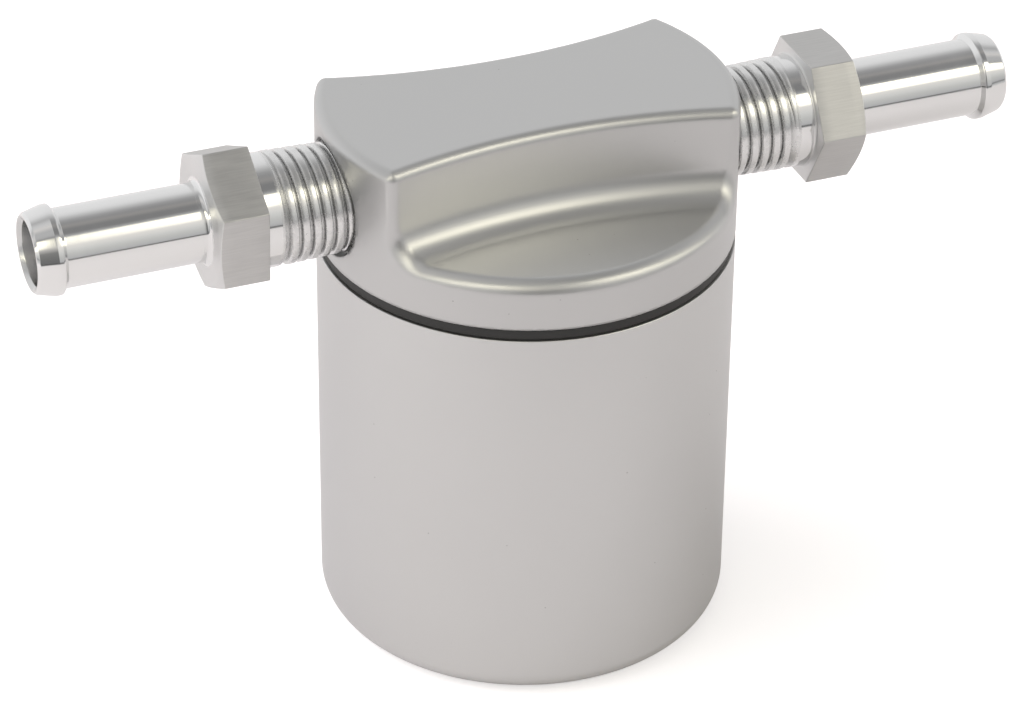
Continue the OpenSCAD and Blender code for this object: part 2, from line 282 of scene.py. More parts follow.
def plainMetal(name, tone, roughness, scale=2400, depth=0.000002):
    material, tree, shader = newMaterial(name)
    place = objectPlace(tree)
    grain = noise(tree, place, scale, 3, 0.6)
    patch = noise(tree, place, 140, 2)
    tree.links.new(mixColour(tree, patch, grey(tone * 0.94), grey(tone * 1.04)), shader.inputs["Base Color"])
    shader.inputs["Metallic"].default_value = 1.0
    rough = mapped(tree, patch, roughness - 0.05, roughness + 0.06, 0.3, 0.7)
    tree.links.new(rough, shader.inputs["Roughness"])
    tree.links.new(bump(tree, grain, depth), shader.inputs["Normal"])
    return material


def knittedWire(name, pitch):
    material, tree, shader = newMaterial(name)
    place = objectPlace(tree)
    wires = None
    for axis in ("X", "Y", "Z"):
        wave = tree.nodes.new("ShaderNodeTexWave")
        wave.bands_direction = axis
        wave.inputs["Scale"].default_value = 0.32 / pitch
        wave.inputs["Distortion"].default_value = 7
        wave.inputs["Detail"].default_value = 2
        wave.inputs["Detail Scale"].default_value = 1.5
        tree.links.new(place, wave.inputs["Vector"])
        wires = wave.outputs["Fac"] if wires is None else combine(tree, "MAXIMUM", wires, wave.outputs["Fac"])
    shade = mapped(tree, wires, 0, 1, 0.55, 0.95)
    # near black between the wires is painted shade in the gaps of the knit
    tree.links.new(mixColour(tree, shade, grey(0.03), grey(0.62)), shader.inputs["Base Color"])
    shader.inputs["Metallic"].default_value = 1.0
    tree.links.new(mapped(tree, shade, 0.7, 0.28), shader.inputs["Roughness"])
    tree.links.new(bump(tree, shade, pitch * 0.4), shader.inputs["Normal"])
    return material


def blackRubber(name):
    material, tree, shader = newMaterial(name)
    grain = noise(tree, objectPlace(tree), 3000, 3)
    patch = noise(tree, objectPlace(tree), 300, 2)
    tree.links.new(mixColour(tree, patch, grey(0.014), grey(0.024)), shader.inputs["Base Color"])
    tree.links.new(mapped(tree, patch, 0.42, 0.6), shader.inputs["Roughness"])
    tree.links.new(bump(tree, grain, 0.000004), shader.inputs["Normal"])
    return material


satin = satinAluminium("satinCan", satinSet["canTone"])
satinLid = satinAluminium("satinLid", satinSet["lidTone"])
turned = turnedMetal("turnedBright")
roughTurned = turnedMetal("roughTurned")
boreWall = turnedMetal("boreWall")
threadCut = cutThread("threadCut")
hexFlat = hexFlatMetal("hexFlats")
rubber = blackRubber("blackRubber")
stainless = plainMetal("stainless", 0.6, 0.3)
bareAluminium = plainMetal("bareAluminium", 0.72, 0.32)
fineWire = knittedWire("fineWire", 0.0007)
coarseWire = knittedWire("coarseWire", 0.0013)
print("materials done")


# Mesh helpers
def meshFrom(name, points, faces, materials, faceSlots=None):
    mesh = bpy.data.meshes.new(name)
    count, corners = faces.shape
    mesh.vertices.add(len(points))
    mesh.vertices.foreach_set("co", np.asarray(points, np.float32).ravel())
    mesh.loops.add(count * corners)
    mesh.loops.foreach_set("vertex_index", faces.ravel().astype(np.int32))
    mesh.polygons.add(count)
    mesh.polygons.foreach_set("loop_start", np.arange(0, count * corners, corners, dtype=np.int32))
    mesh.polygons.foreach_set("use_smooth", np.ones(count, bool))
    for material in materials:
        mesh.materials.append(material)
    if faceSlots is not None:
        mesh.polygons.foreach_set("material_index", np.asarray(faceSlots, np.int32))
    mesh.update(calc_edges=True)
    mesh.validate()
    return mesh


def pieceFrom(name, mesh, body, slot, *nodes):
    piece = bpy.data.objects.new(name, mesh)
    bpy.context.scene.collection.objects.link(piece)
    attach(piece, body)
    if nodes:
        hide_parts(*nodes)
    return piece


def signedVolume(mesh):
    mesh.calc_loop_triangles()
    corners = np.zeros(len(mesh.loop_triangles) * 3, np.int32)
    mesh.loop_triangles.foreach_get("vertices", corners)
    points = np.zeros(len(mesh.vertices) * 3, np.float32)
    mesh.vertices.foreach_get("co", points)
    a, b, c = np.moveaxis(points.reshape(-1, 3).astype(float)[corners.reshape(-1, 3)], 1, 0)
    return float(np.einsum("ij,ij->", a, np.cross(b, c)) / 6)


def faceOut(mesh):
    if signedVolume(mesh) < 0:
        mesh.flip_normals()


def wearFromCurve(mesh, low, high):
    count = len(mesh.vertices)
    points, normals = np.zeros(count * 3), np.zeros(count * 3)
    mesh.vertices.foreach_get("co", points)
    mesh.vertex_normals.foreach_get("vector", normals)
    edges = np.zeros(len(mesh.edges) * 2, np.int32)
    mesh.edges.foreach_get("vertices", edges)
    points, normals, edges = points.reshape(-1, 3) / mm, normals.reshape(-1, 3), edges.reshape(-1, 2)
    step = points[edges[:, 0]] - points[edges[:, 1]]
    bend = np.einsum("ij,ij->i", normals[edges[:, 0]] - normals[edges[:, 1]], step) / np.maximum(
        np.einsum("ij,ij->i", step, step), 1e-6)
    most = np.full(count, -9.0)
    np.maximum.at(most, edges[:, 0], bend)
    np.maximum.at(most, edges[:, 1], bend)
    wear = np.clip((most - low) / (high - low), 0, 1)
    layer = mesh.attributes.new("wear", "FLOAT", "POINT")
    layer.data.foreach_set("value", wear.astype(np.float32))


def roundedPath(corners, steps=5):
    points = []
    count = len(corners)
    for k, (r, z, radius) in enumerate(corners):
        here = np.array([r, z], float)
        if radius <= 0 or k in (0, count - 1):
            points.append(here)
            continue
        before, after = np.array(corners[k - 1][:2], float), np.array(corners[k + 1][:2], float)
        u, v = before - here, after - here
        u, v = u / np.linalg.norm(u), v / np.linalg.norm(v)
        half = math.acos(max(-1, min(1, float(u @ v)))) / 2
        centre = here + (u + v) / np.linalg.norm(u + v) * radius / math.sin(half)
        start, end = here + u * radius / math.tan(half), here + v * radius / math.tan(half)
        a0, a1 = math.atan2(*(start - centre)[::-1]), math.atan2(*(end - centre)[::-1])
        turn = (a1 - a0 + math.pi) % (2 * math.pi) - math.pi
        for step in range(steps + 1):
            angle = a0 + turn * step / steps
            points.append(centre + radius * np.array([math.cos(angle), math.sin(angle)]))
    return np.array(points)


# Node trees for what is turned and what is cut as a thread
def newTree(name, sockets):
    tree = bpy.data.node_groups.new(name, "GeometryNodeTree")
    tree.interface.new_socket("Geometry", in_out="INPUT", socket_type="NodeSocketGeometry")
    for label, kind in sockets:
        tree.interface.new_socket(label, in_out="INPUT", socket_type="NodeSocket" + kind)
    tree.interface.new_socket("Geometry", in_out="OUTPUT", socket_type="NodeSocketGeometry")
    return tree, tree.nodes.new("NodeGroupInput"), tree.nodes.new("NodeGroupOutput")


def addNode(tree, kind, values=None, links=None, **settings):
    node = tree.nodes.new(kind)
    for name, value in settings.items():
        setattr(node, name, value)
    for key, value in (values or {}).items():
        node.inputs[key].default_value = value
    for key, source in (links or {}).items():
        tree.links.new(source, node.inputs[key])
    return node


def turnedTree():
    tree, given, result = newTree("turnedPiece", [
        ("Segments", "Int"), ("Merge Distance", "Float"), ("Material", "Material")])
    mathNode = "ShaderNodeMath"
    size = addNode(tree, "GeometryNodeAttributeDomainSize", links={0: given.outputs["Geometry"]},
                   component="MESH")
    columns = addNode(tree, mathNode, {1: 1}, {0: given.outputs["Segments"]}, operation="ADD")
    grid = addNode(tree, "GeometryNodeMeshGrid", {"Size X": 1, "Size Y": 1},
                   {"Vertices X": columns.outputs[0], "Vertices Y": size.outputs["Point Count"]})
    index = addNode(tree, "GeometryNodeInputIndex")
    placeInGrid = {0: index.outputs[0], 1: size.outputs["Point Count"]}
    row = addNode(tree, mathNode, None, placeInGrid, operation="MODULO")
    ratio = addNode(tree, mathNode, None, placeInGrid, operation="DIVIDE")
    column = addNode(tree, mathNode, None, {0: ratio.outputs[0]}, operation="FLOOR")
    share = addNode(tree, mathNode, None, {0: column.outputs[0], 1: given.outputs["Segments"]},
                    operation="DIVIDE")
    angle = addNode(tree, mathNode, {1: 2 * math.pi}, {0: share.outputs[0]}, operation="MULTIPLY")
    position = addNode(tree, "GeometryNodeInputPosition")
    sample = tree.nodes.new("GeometryNodeSampleIndex")
    sample.data_type = "FLOAT_VECTOR"
    tree.links.new(given.outputs["Geometry"], sample.inputs["Geometry"])
    tree.links.new(position.outputs[0], next(s for s in sample.inputs if s.name == "Value" and s.enabled))
    tree.links.new(row.outputs[0], sample.inputs["Index"])
    sampled = next(s for s in sample.outputs if s.enabled)
    turn = addNode(tree, "ShaderNodeVectorRotate", {"Axis": (0, 0, 1)},
                   {"Vector": sampled, "Angle": angle.outputs[0]}, rotation_type="AXIS_ANGLE")
    placed = addNode(tree, "GeometryNodeSetPosition", None,
                     {"Geometry": grid.outputs["Mesh"], "Position": turn.outputs[0]})
    merged = addNode(tree, "GeometryNodeMergeByDistance", None,
                     {"Geometry": placed.outputs[0], "Distance": given.outputs["Merge Distance"]})
    real = addNode(tree, "GeometryNodeRealizeInstances", None, {"Geometry": merged.outputs[0]})
    finish = addNode(tree, "GeometryNodeSetMaterial", None,
                     {"Geometry": real.outputs[0], "Material": given.outputs["Material"]})
    tree.links.new(finish.outputs[0], result.inputs[0])
    return tree


def threadTree():
    tree, given, result = newTree("threadRidge", [
        *((label, "Float") for label in (
            "Pitch", "Turns", "Start Radius", "End Radius", "Depth", "Root Width", "Crest Width",
            "Crest Rounding", "Start Fade", "End Fade")),
        ("Steps Per Turn", "Int"), ("Material", "Material")])
    mathNode = "ShaderNodeMath"
    out = given.outputs
    height = addNode(tree, mathNode, None, {0: out["Pitch"], 1: out["Turns"]}, operation="MULTIPLY")
    helix = addNode(tree, "GeometryNodeCurveSpiral", {"Reverse": True}, {
        "Resolution": out["Steps Per Turn"], "Rotations": out["Turns"], "Start Radius": out["Start Radius"],
        "End Radius": out["End Radius"], "Height": height.outputs[0]})
    upright = addNode(tree, "GeometryNodeSetCurveNormal", None, {"Curve": helix.outputs[0]}, mode="Z_UP")
    profile = addNode(tree, "GeometryNodeCurvePrimitiveQuadrilateral", mode="POINTS")
    for number, (radial, wide, sign) in enumerate((
            (None, "Root Width", -0.5), ("Depth", "Crest Width", -0.5),
            ("Depth", "Crest Width", 0.5), (None, "Root Width", 0.5))):
        side = addNode(tree, mathNode, {1: sign}, {0: out[wide]}, operation="MULTIPLY")
        corner = addNode(tree, "ShaderNodeCombineXYZ", None, {"Y": side.outputs[0]})
        if radial:
            tree.links.new(out[radial], corner.inputs["X"])
        tree.links.new(corner.outputs[0], profile.inputs[f"Point {number + 1}"])
    soft = addNode(tree, "GeometryNodeFilletCurve", {"Count": 2},
                   {"Curve": profile.outputs[0], "Radius": out["Crest Rounding"]}, mode="POLY")
    along = addNode(tree, "GeometryNodeSplineParameter")
    back = addNode(tree, mathNode, {0: 1}, {1: along.outputs["Factor"]}, operation="SUBTRACT")
    fades = []
    for source, fade in ((along.outputs["Factor"], "Start Fade"), (back.outputs[0], "End Fade")):
        share = addNode(tree, mathNode, None, {0: out[fade], 1: out["Turns"]}, operation="DIVIDE")
        fades.append(addNode(tree, "ShaderNodeMapRange", {"To Min": 0.03, "To Max": 1.0},
                             {"Value": source, "From Max": share.outputs[0]},
                             interpolation_type="SMOOTHSTEP").outputs[0])
    scale = addNode(tree, mathNode, None, dict(enumerate(fades)), operation="MULTIPLY")
    swept = addNode(tree, "GeometryNodeCurveToMesh", {"Fill Caps": True}, {
        "Curve": upright.outputs[0], "Profile Curve": soft.outputs[0], "Scale": scale.outputs[0]})
    real = addNode(tree, "GeometryNodeRealizeInstances", None, {"Geometry": swept.outputs[0]})
    finish = addNode(tree, "GeometryNodeSetMaterial", None,
                     {"Geometry": real.outputs[0], "Material": out["Material"]})
    tree.links.new(finish.outputs[0], result.inputs[0])
    return tree


def runTree(tree, name, start, values):
    maker = bpy.data.objects.new(name + "Maker", start)
    bpy.context.scene.collection.objects.link(maker)
    modifier = maker.modifiers.new("tree", "NODES")
    modifier.node_group = tree
    for item in tree.interface.items_tree:
        if item.in_out == "INPUT" and item.name in values:
            modifier[item.identifier] = values[item.name]
    graph = bpy.context.evaluated_depsgraph_get()
    mesh = bpy.data.meshes.new_from_object(maker.evaluated_get(graph))
    mesh.name = name
    maker.modifiers.clear()
    bpy.data.objects.remove(maker)
    faceOut(mesh)
    return mesh


turnedGroup, threadGroup = turnedTree(), threadTree()
weldDistance = 0.0004 * mm


def smoothBut(mesh, degrees):
    # smooth shading, apart from edges sharper than this
    mesh.polygons.foreach_set("use_smooth", np.ones(len(mesh.polygons), bool))
    mesh.set_sharp_from_angle(angle=math.radians(degrees))


def turnedPiece(name, path, material, body, slot, nodes, segments=256, edgeAngle=35):
    points = np.array([(r * mm, 0, z * mm) for r, z in path])
    line = bpy.data.meshes.new(name + "Profile")
    line.from_pydata(points.tolist(), [(k, k + 1) for k in range(len(points) - 1)], [])
    mesh = runTree(turnedGroup, name, line, {
        "Segments": segments, "Merge Distance": weldDistance, "Material": material})
    smoothBut(mesh, edgeAngle)
    wearFromCurve(mesh, 0.5, 2.2)
    return pieceFrom(name, mesh, body, slot, *nodes)


# Can
canSet = {
    "radius": 25.4, "height": 51.45, "wall": 3.2, "floor": 4.0, "foot": 3.2, "sump": 2.0,
    "bevel": 0.06, "mouthBevel": 0.12,
    "mouthRadius": 23.2, "mouthDepth": 1.25, "threadRadius": 23.1, "threadEnd": 43.005,
}


def makeCan():
    s = canSet
    inner = s["radius"] - s["wall"]
    b = s["bevel"]
    corners = [
        (0, 0, 0), (s["radius"] - s["foot"] * 0.9999, 0, 0)] + [
        (s["radius"] - s["foot"] + s["foot"] * math.sin(a), s["foot"] - s["foot"] * math.cos(a), 0)
        for a in np.linspace(0.02, math.pi / 2, 18)] + [
        (s["radius"], s["height"] - b, 0.02), (s["radius"] - b, s["height"], 0.02),
        (s["mouthRadius"] + s["mouthBevel"], s["height"], 0.03),
        (s["mouthRadius"], s["height"] - s["mouthBevel"], 0.03),
        (s["mouthRadius"], s["height"] - s["mouthDepth"], 0),
        (s["threadRadius"], s["height"] - s["mouthDepth"], 0),
        (s["threadRadius"], s["threadEnd"], 0.1), (inner, s["threadEnd"], 0.1),
        (inner, s["floor"], s["sump"]), (0, s["floor"], 0)]
    path = roundedPath(corners, 8)
    return turnedPiece("canBody", path, satin, "can", "satin_aluminium", ["can"], 320)


makeCan()

# Seal ring
sealSet = {"inner": 23.3, "outer": 25.15, "low": 51.45, "high": 53.0, "corner": 0.3}


def makeSeal():
    s = sealSet
    middle, c = (s["inner"] + s["outer"]) / 2, s["corner"]
    path = roundedPath([(middle, s["low"], 0), (s["outer"], s["low"], c), (s["outer"], s["high"], c),
                        (s["inner"], s["high"], c), (s["inner"], s["low"], c), (middle, s["low"], 0)], 6)
    return turnedPiece("sealRing", path, rubber, "seal", "black_rubber", ["lid_seal"], 256)


makeSeal()
print("can and seal done")

# Lid
lidSet = {
    "radius": 25.4, "low": 53.0, "top": 70.4, "shelf": 59.3, "bevel": 0.06,
    "arc": 76.2, "arcAway": 85.9, "cove": 3.6, "topRound": 1.3,
    "rimRound": 1.8, "cornerRound": 1.0, "rimAt": 60.3, "rimFade": 4,   # one becomes the other upwards
    "land": 23.1, "landLow": 50.2, "core": 22.1, "coreLow": 43.705, "coreBevel": 0.707,
    "portHigh": 61.2, "mouth": 7.2, "mouthAt": 23.9, "mouthRound": 0.25,
    "thread": 6.75, "taper": 1 / 32, "threadAt": 17.0, "drill": 5.55, "drillFrom": 9.5, "drillTo": 24.4,
    "passage": 13.5, "tube": 4.05, "tubeTop": 54.7, "inletHole": 3.2, "outletHole": 4.0,
    "ring": 5.5, "ringLow": 46.905, "ringHigh": 48.505, "stud": 2.55, "studTop": 52.205,
}


def roundUnion(a, b, r):
    return np.maximum(r, np.minimum(a, b)) - np.hypot(np.maximum(r - a, 0), np.maximum(r - b, 0))


def roundMeet(a, b, r):
    return np.minimum(-r, np.maximum(a, b)) + np.hypot(np.maximum(r + a, 0), np.maximum(r + b, 0))


def bevelMeet(a, b, leg):
    return np.maximum(np.maximum(a, b), (a + b + leg) * math.sqrt(0.5))


def meet(*fields):
    return np.maximum.reduce(np.broadcast_arrays(*fields))


def lidField(x, y, z):
    s = lidSet
    rho = np.hypot(x, y)
    body = rho - s["radius"]
    rise = np.clip((z - s["rimAt"]) / s["rimFade"], 0, 1)
    rounding = s["rimRound"] + (s["cornerRound"] - s["rimRound"]) * rise * rise * (3 - 2 * rise)
    for side in (1, -1):
        wall = s["arc"] - np.hypot(x, y + side * s["arcAway"])
        body = roundMeet(body, roundUnion(wall, z - s["shelf"], s["cove"]), rounding)
    body = roundMeet(body, z - s["top"], s["topRound"])
    body = bevelMeet(body, s["low"] - z, s["bevel"])
    land = meet(rho - s["land"], s["landLow"] - z, z - s["low"] - 0.5)
    core = meet(bevelMeet(rho - s["core"], s["coreLow"] - z, s["coreBevel"]), z - s["landLow"] - 0.5)
    body = np.minimum(np.minimum(body, land), core)
    across = np.hypot(y, z - s["portHigh"])
    for side in (1, -1):
        out = side * x
        body = roundMeet(body, -meet(across - s["mouth"], s["mouthAt"] - out), s["mouthRound"])
        cone = meet(across - s["thread"] + (s["radius"] - out) * s["taper"], s["threadAt"] - out)
        drill = meet(across - s["drill"], s["drillFrom"] - out, out - s["drillTo"])
        body = meet(body, -cone, -drill)
    inlet, outlet = np.hypot(x + s["passage"], y), np.hypot(x - s["passage"], y)
    holes = (
        (inlet - s["tube"], z - s["tubeTop"]), (inlet - s["inletHole"], z - s["portHigh"]),
        (inlet - s["ring"], s["ringLow"] - z, z - s["ringHigh"]),
        (outlet - s["outletHole"], z - s["portHigh"]), (rho - s["stud"], z - s["studTop"]))
    for hole in holes:
        body = meet(body, -meet(*hole))
    return body


def fieldSlope(field, p, h=0.004):
    # unit slope of the field at the points p, from differences over 2 h
    x, y, z = p[..., 0], p[..., 1], p[..., 2]
    g = np.stack([field(x + h, y, z) - field(x - h, y, z), field(x, y + h, z) - field(x, y - h, z),
                  field(x, y, z + h) - field(x, y, z - h)], -1)
    return g / np.maximum(np.linalg.norm(g, axis=-1, keepdims=True), 1e-9)


def contour(field, xs, ys, zs):
    # dual contouring: one corner in each grid cell that the surface crosses
    gx, gy, gz = np.meshgrid(xs, ys, zs, indexing="ij")
    value = field(gx, gy, gz)
    inside = value < 0
    lines = (xs, ys, zs)
    cells = np.array(value.shape) - 1
    crossings, quads, flips = [], [], []
    for axis in range(3):
        one = [slice(None)] * 3
        two = [slice(None)] * 3
        one[axis], two[axis] = slice(None, -1), slice(1, None)
        index = np.argwhere(inside[tuple(one)] != inside[tuple(two)])
        near = np.stack([lines[k][index[:, k]] for k in range(3)], 1)
        far = near.copy()
        far[:, axis] = lines[axis][index[:, axis] + 1]
        nearIn = inside[tuple(index.T)]
        a, b = np.where(nearIn[:, None], near, far), np.where(nearIn[:, None], far, near)
        for halving in range(18):
            mid = (a + b) / 2
            isIn = field(mid[:, 0], mid[:, 1], mid[:, 2]) < 0
            a, b = np.where(isIn[:, None], mid, a), np.where(isIn[:, None], b, mid)
        point = (a + b) / 2
        slope = fieldSlope(field, point)
        u, v = (axis + 1) % 3, (axis + 2) % 3
        around = []
        for du, dv in ((0, 0), (-1, 0), (-1, -1), (0, -1)):
            cell = index.copy()
            cell[:, u] += du
            cell[:, v] += dv
            around.append(np.ravel_multi_index(cell.T, cells))
        around = np.stack(around, 1)
        crossings.append((np.repeat(point, 4, 0), np.repeat(slope, 4, 0), around.ravel()))
        quads.append(np.where(nearIn[:, None], around, around[:, ::-1]))
    point, slope, cell = (np.concatenate([c[k] for c in crossings]) for k in range(3))
    used, owner = np.unique(cell, return_inverse=True)
    count = np.bincount(owner).astype(float)
    middle = np.stack([np.bincount(owner, point[:, k]) for k in range(3)], 1) / count[:, None]
    offset = np.einsum("ij,ij->i", slope, point - middle[owner])
    square = np.zeros((len(used), 3, 3))
    right = np.zeros((len(used), 3))
    for i in range(3):
        right[:, i] = np.bincount(owner, slope[:, i] * offset)
        for j in range(3):
            square[:, i, j] = np.bincount(owner, slope[:, i] * slope[:, j])
    size, way = np.linalg.eigh(square)
    keep = np.where(size > 0.06 * size[:, -1:], 1 / np.maximum(size, 1e-9), 0)
    move = np.einsum("nij,nj->ni", way, keep * np.einsum("nji,nj->ni", way, right))
    place = middle + move
    corner = np.stack(np.unravel_index(used, cells), 1)
    low = np.stack([lines[k][corner[:, k]] for k in range(3)], 1)
    high = np.stack([lines[k][corner[:, k] + 1] for k in range(3)], 1)
    room = (high - low) * 0.05
    place = np.clip(place, low - room, high + room)
    faces = np.searchsorted(used, np.concatenate(quads))
    return place, faces


def steps(*stretches):
    parts = []
    for low, high, step in stretches:
        parts.append(np.linspace(low, high, max(2, int(round((high - low) / step)) + 1))[:-1])
    return np.concatenate(parts + [[stretches[-1][1]]])


lidGrid = {                             # from, to, step
    "across": [(-26.03, 26.03, 0.42)], "shift": 0.011,
    "upright": [(43.31, 45.2, 0.45), (45.2, 49.9, 0.6), (49.9, 53.9, 0.37), (53.9, 58.1, 0.55),
                (58.1, 63.2, 0.4), (63.2, 69.3, 0.55), (69.3, 70.9, 0.2)],
}


def makeLid():
    across, upright = steps(*lidGrid["across"]), steps(*lidGrid["upright"])
    place, faces = contour(lidField, across, across + lidGrid["shift"], upright)
    place[:, 2] = np.minimum(place[:, 2], lidSet["top"])
    reach = np.hypot(place[:, 0], place[:, 1])
    place[:, :2] *= np.minimum(1, lidSet["radius"] / reach)[:, None]
    mesh = meshFrom("lidBody", place * mm, faces, [satinLid])
    faceOut(mesh)
    corners = np.zeros(len(mesh.loops), np.int32)
    mesh.loops.foreach_get("vertex_index", corners)
    quads = corners.reshape(-1, 4)
    place = place[quads]
    centre = place.mean(1, keepdims=True)
    slope = fieldSlope(lidField, place * 0.75 + centre * 0.25)
    mesh.normals_split_custom_set(slope.reshape(-1, 3).tolist())
    wearFromCurve(mesh, 0.25, 1.1)
    return pieceFrom("lidBody", mesh, "lid", "satin_aluminium", "lid")


makeLid()
print("lid done")

# Thread between lid and can
neckSet = {
    "pitch": 1.5, "rootWidth": 1.28, "crestWidth": 0.32, "crestRound": 0.06, "fade": 0.3, "steps": 96,
    "lid": {"root": 22.06, "depth": 0.84, "from": 43.95, "turns": 4.1},
    "can": {"root": 23.14, "depth": -0.78, "from": 43.25, "turns": 4.2},
}


def threadRidge(name, s, start, end, depth, turns, fades, material):
    return runTree(threadGroup, name, bpy.data.meshes.new("empty"), {
        "Pitch": s["pitch"] * mm, "Turns": turns, "Start Radius": start * mm, "End Radius": end * mm,
        "Depth": depth * mm, "Root Width": s["rootWidth"] * mm, "Crest Width": s["crestWidth"] * mm,
        "Crest Rounding": s["crestRound"] * mm, "Start Fade": fades[0], "End Fade": fades[1],
        "Steps Per Turn": s["steps"], "Material": material})


def makeNeckThreads():
    # the can's ridge lies in the lid's groove: half a turn on, less what it starts lower
    s = neckSet
    lower = s["can"]["from"] - s["lid"]["from"]
    turnOn = {"lid": 0, "can": math.radians(360 * lower / s["pitch"] + 180)}
    for body in ("lid", "can"):
        t = s[body]
        mesh = threadRidge(body + "Thread", s, t["root"], t["root"], t["depth"], t["turns"],
                           (s["fade"], s["fade"]), satin)
        mesh.transform(Matrix.Translation((0, 0, t["from"] * mm)) @ Matrix.Rotation(turnOn[body], 4, "Z"))
        smoothBut(mesh, 40)
        pieceFrom(body + "Thread", mesh, body, "satin_aluminium")


makeNeckThreads()
print("neck threads done")

# Hose fittings
fittingSet = {
    "start": 17.8, "high": 61.2,                        # the inner end and the axis
    "taper": 1 / 32,                                    # 1:16 on the diameter
    "pipeRadius": 6.7, "pipeIn": 7.6,                   # of the thread, this far from the inner end
    "threadEnd": 15.0, "threadDepth": 0.56, "pitch": 1.411,
    "rootWidth": 1.3, "crestWidth": 0.78, "crestRound": 0.1, "steps": 96,
    "ridgeFrom": 0.15, "ridgeOver": 0.5, "ridgeSunk": 0.04, "fades": (0.4, 0.8),
    "neckRadius": 6.88, "neckAt": 17.3, "neckFillet": 0.3,
    "hexLength": 6.0, "hexAcross": 15.875, "hexBevel": 18, "hexRound": 0.22, "hexEdge": 0.1,
    "tail": 4.7625, "tailLength": 20.9, "tailFillet": 0.6, "barbFrom": 17.3,
    "barb": [                                           # above the tail, past its foot, rounding
        (0, 0, 0.1), (0.62, 0.42, 0.12), (0.66, 0.6, 0.3), (0.66, 1.15, 0.5), (0.12, 3.28, 0.2),
        (-0.16, 3.6, 0.06)],
    "bore": 3.6, "flare": 0.72, "flareStep": (0.3, 0.45), "flareLength": 7.0,
    "inletCorner": 92.6, "outletCorner": 59.3,          # degrees up from +Y to a hexagon's corner
    "inletCrest": 6.7, "outletCrest": 7.9,              # where a crest faces -Y
    "segments": 168,
    "cornerSpread": [-1.0, -0.7, -0.35, 0.35, 0.7, 1.0, 0],   # degrees off a corner, for its rounding
}
turnedSlot, flatSlot, threadSlot, roughSlot, boreSlot = range(5)


def pipeRadius(at):
    return fittingSet["pipeRadius"] + (at - fittingSet["pipeIn"]) * fittingSet["taper"]


def hexRadius(angle, away=0.0):
    s = fittingSet
    flat = s["hexAcross"] / 2 - away
    turn = np.abs((angle + math.pi / 6) % (math.pi / 3) - math.pi / 6)
    centre = (flat - s["hexRound"]) / math.cos(math.pi / 6)
    off = math.pi / 6 - turn
    reach = np.sqrt(np.maximum(s["hexRound"] ** 2 - (centre * np.sin(off)) ** 2, 0))
    onFlat = turn <= math.atan((flat - s["hexRound"]) * math.tan(math.pi / 6) / flat)
    return np.where(onFlat, flat / np.cos(turn), centre * np.cos(off) + reach)


def fittingRows(angles, corner):
    # rows of (along, radius, slot); the slot is for the strip from a row to the next
    s = fittingSet
    end = s["neckAt"] + s["hexLength"]
    tip = end + s["tailLength"]
    one = np.ones_like(angles)
    rows = []

    def core(at):
        return pipeRadius(at) - s["threadDepth"]

    def add(path, slot):
        rows.extend((z * one, r * one, slot) for r, z in path)

    # thread core, from the bore's inner mouth outwards
    out, root = s["threadEnd"], s["neckFillet"]
    add(roundedPath([(s["bore"] + 0.3, 0, 0), (core(0), 0, 0.15), (core(out - 0.75), out - 0.75, 0.2),
                     (s["neckRadius"] - 0.02, out, 0.15), (s["neckRadius"], out + 0.3, 0)], 4), threadSlot)
    add([(s["neckRadius"], z) for z in (out + 0.31, s["neckAt"] - 0.35)], turnedSlot)
    add([(s["neckRadius"] + root * (1 - math.cos(a)), s["neckAt"] - root + root * math.sin(a))
         for a in np.linspace(0.2, math.pi / 2, 5)], roughSlot)
    # hexagon: a rounded edge, its flats, and the turned bevel on the side of the tail
    phase = angles - math.radians(corner) + math.pi / 6
    flats = hexRadius(phase)
    small = s["hexEdge"]
    rows.append((s["neckAt"] * one, hexRadius(phase, 0.45), roughSlot))
    for a in np.linspace(0, math.pi / 2, 4):
        along, away = small * (1 - math.cos(a)), small * (1 - math.sin(a))
        rows.append(((s["neckAt"] + along) * one, hexRadius(phase, away), flatSlot))
    face = s["hexAcross"] / 2 - 0.12
    bevelAt = end - (flats - face) * math.tan(math.radians(s["hexBevel"]))
    for share in (0.25, 0.5, 0.75):
        along = (bevelAt - s["neckAt"] - small) * share
        rows.append((s["neckAt"] + small + along, flats, flatSlot))
    rows.append((bevelAt - 0.05, flats, roughSlot))
    rows.append((bevelAt + 0.015, flats - 0.04, roughSlot))
    rows.append((end * one, face * one, roughSlot))
    rows.append((end * one, (face - 0.3) * one, roughSlot))
    # tail: root fillet, plain shank, barb, flared mouth, bore
    fillet = s["tailFillet"]
    add([(s["tail"] + fillet - fillet * math.sin(a), end + fillet - fillet * math.cos(a))
         for a in np.linspace(0, math.pi / 2, 6)], turnedSlot)
    foot = end + s["barbFrom"]
    add([(s["tail"], z) for z in np.linspace(end + 1, foot - 0.4, 14)], turnedSlot)
    barb = [(s["tail"] + r, foot + z, rounding) for r, z, rounding in s["barb"]]
    lip, deep = (s["bore"] + s["flare"], tip), tip - s["flareLength"]
    add(roundedPath([(s["tail"], foot - 0.19, 0)] + barb + [(*lip, 0.06)], 5)[:-1], turnedSlot)
    add(roundedPath([(s["tail"] + s["barb"][-1][0] - 0.08, tip, 0), (*lip, 0.05),
                     (s["bore"] + s["flareStep"][0], tip - s["flareStep"][1], 0.2),
                     (s["bore"], deep, 0.8), (s["bore"], deep - 1, 0)], 5), boreSlot)
    add([(s["bore"], z) for z in np.linspace(deep - 2, 1.2, 12)], boreSlot)
    add([(s["bore"], 0.3)], boreSlot)
    return rows


